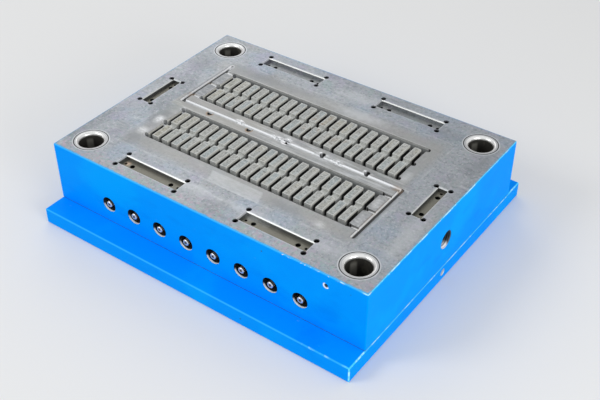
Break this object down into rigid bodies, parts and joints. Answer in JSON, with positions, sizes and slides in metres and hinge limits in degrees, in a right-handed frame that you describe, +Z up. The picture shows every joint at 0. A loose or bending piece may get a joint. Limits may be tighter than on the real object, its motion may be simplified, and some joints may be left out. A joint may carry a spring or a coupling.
{
  "type": "injection mould half",
  "caption": "Fixed half of a plastic injection mould: blue clamp and cavity plates, guide bushes, two slotted grate cavities, runner and sunk water ports.",
  "frame": {"origin": "centre of the underside of the clamp plate", "axes": "+Z up to the parting face, +X along the long side, -Y towards the water ports"},
  "size_m": [0.75, 0.65, 0.17],
  "materials": {
    "cavity_plate_steel": "painted sides, bare ground parting face",
    "blue_paint": "gloss blue paint",
    "insert_steel": "ground and spark-eroded tool steel",
    "bush_steel": "polished",
    "sprue_steel": "ground",
    "ring_steel": "turned",
    "screw_steel": "black oxide",
    "brass": "dull",
    "seal_rubber": "matte"
  },
  "bodies": {
    "root": {"cavity_insert": "insert_steel", "cavity_plate": "cavity_plate_steel", "clamp_plate": "blue_paint", "clamp_plate_screws": "screw_steel", "guide_bush_front_left": "bush_steel", "guide_bush_front_right": "bush_steel", "guide_bush_rear_left": "bush_steel", "guide_bush_rear_right": "bush_steel", "insert_screws": "screw_steel", "locating_ring": "ring_steel", "locating_ring_screws": "screw_steel", "plate_dowels": "screw_steel", "riser_seal_1": "seal_rubber", "riser_seal_2": "seal_rubber", "riser_seal_3": "seal_rubber", "riser_seal_4": "seal_rubber", "riser_seal_5": "seal_rubber", "riser_seal_6": "seal_rubber", "riser_seal_7": "seal_rubber", "riser_seal_8": "seal_rubber", "sprue_bush": "sprue_steel", "stop_plugs": "brass", "water_nipple_1": "brass", "water_nipple_2": "brass", "water_nipple_3": "brass", "water_nipple_4": "brass", "water_nipple_5": "brass", "water_nipple_6": "brass", "water_nipple_7": "brass", "water_nipple_8": "brass", "water_plugs": "brass"}
  },
  "joints": []
}
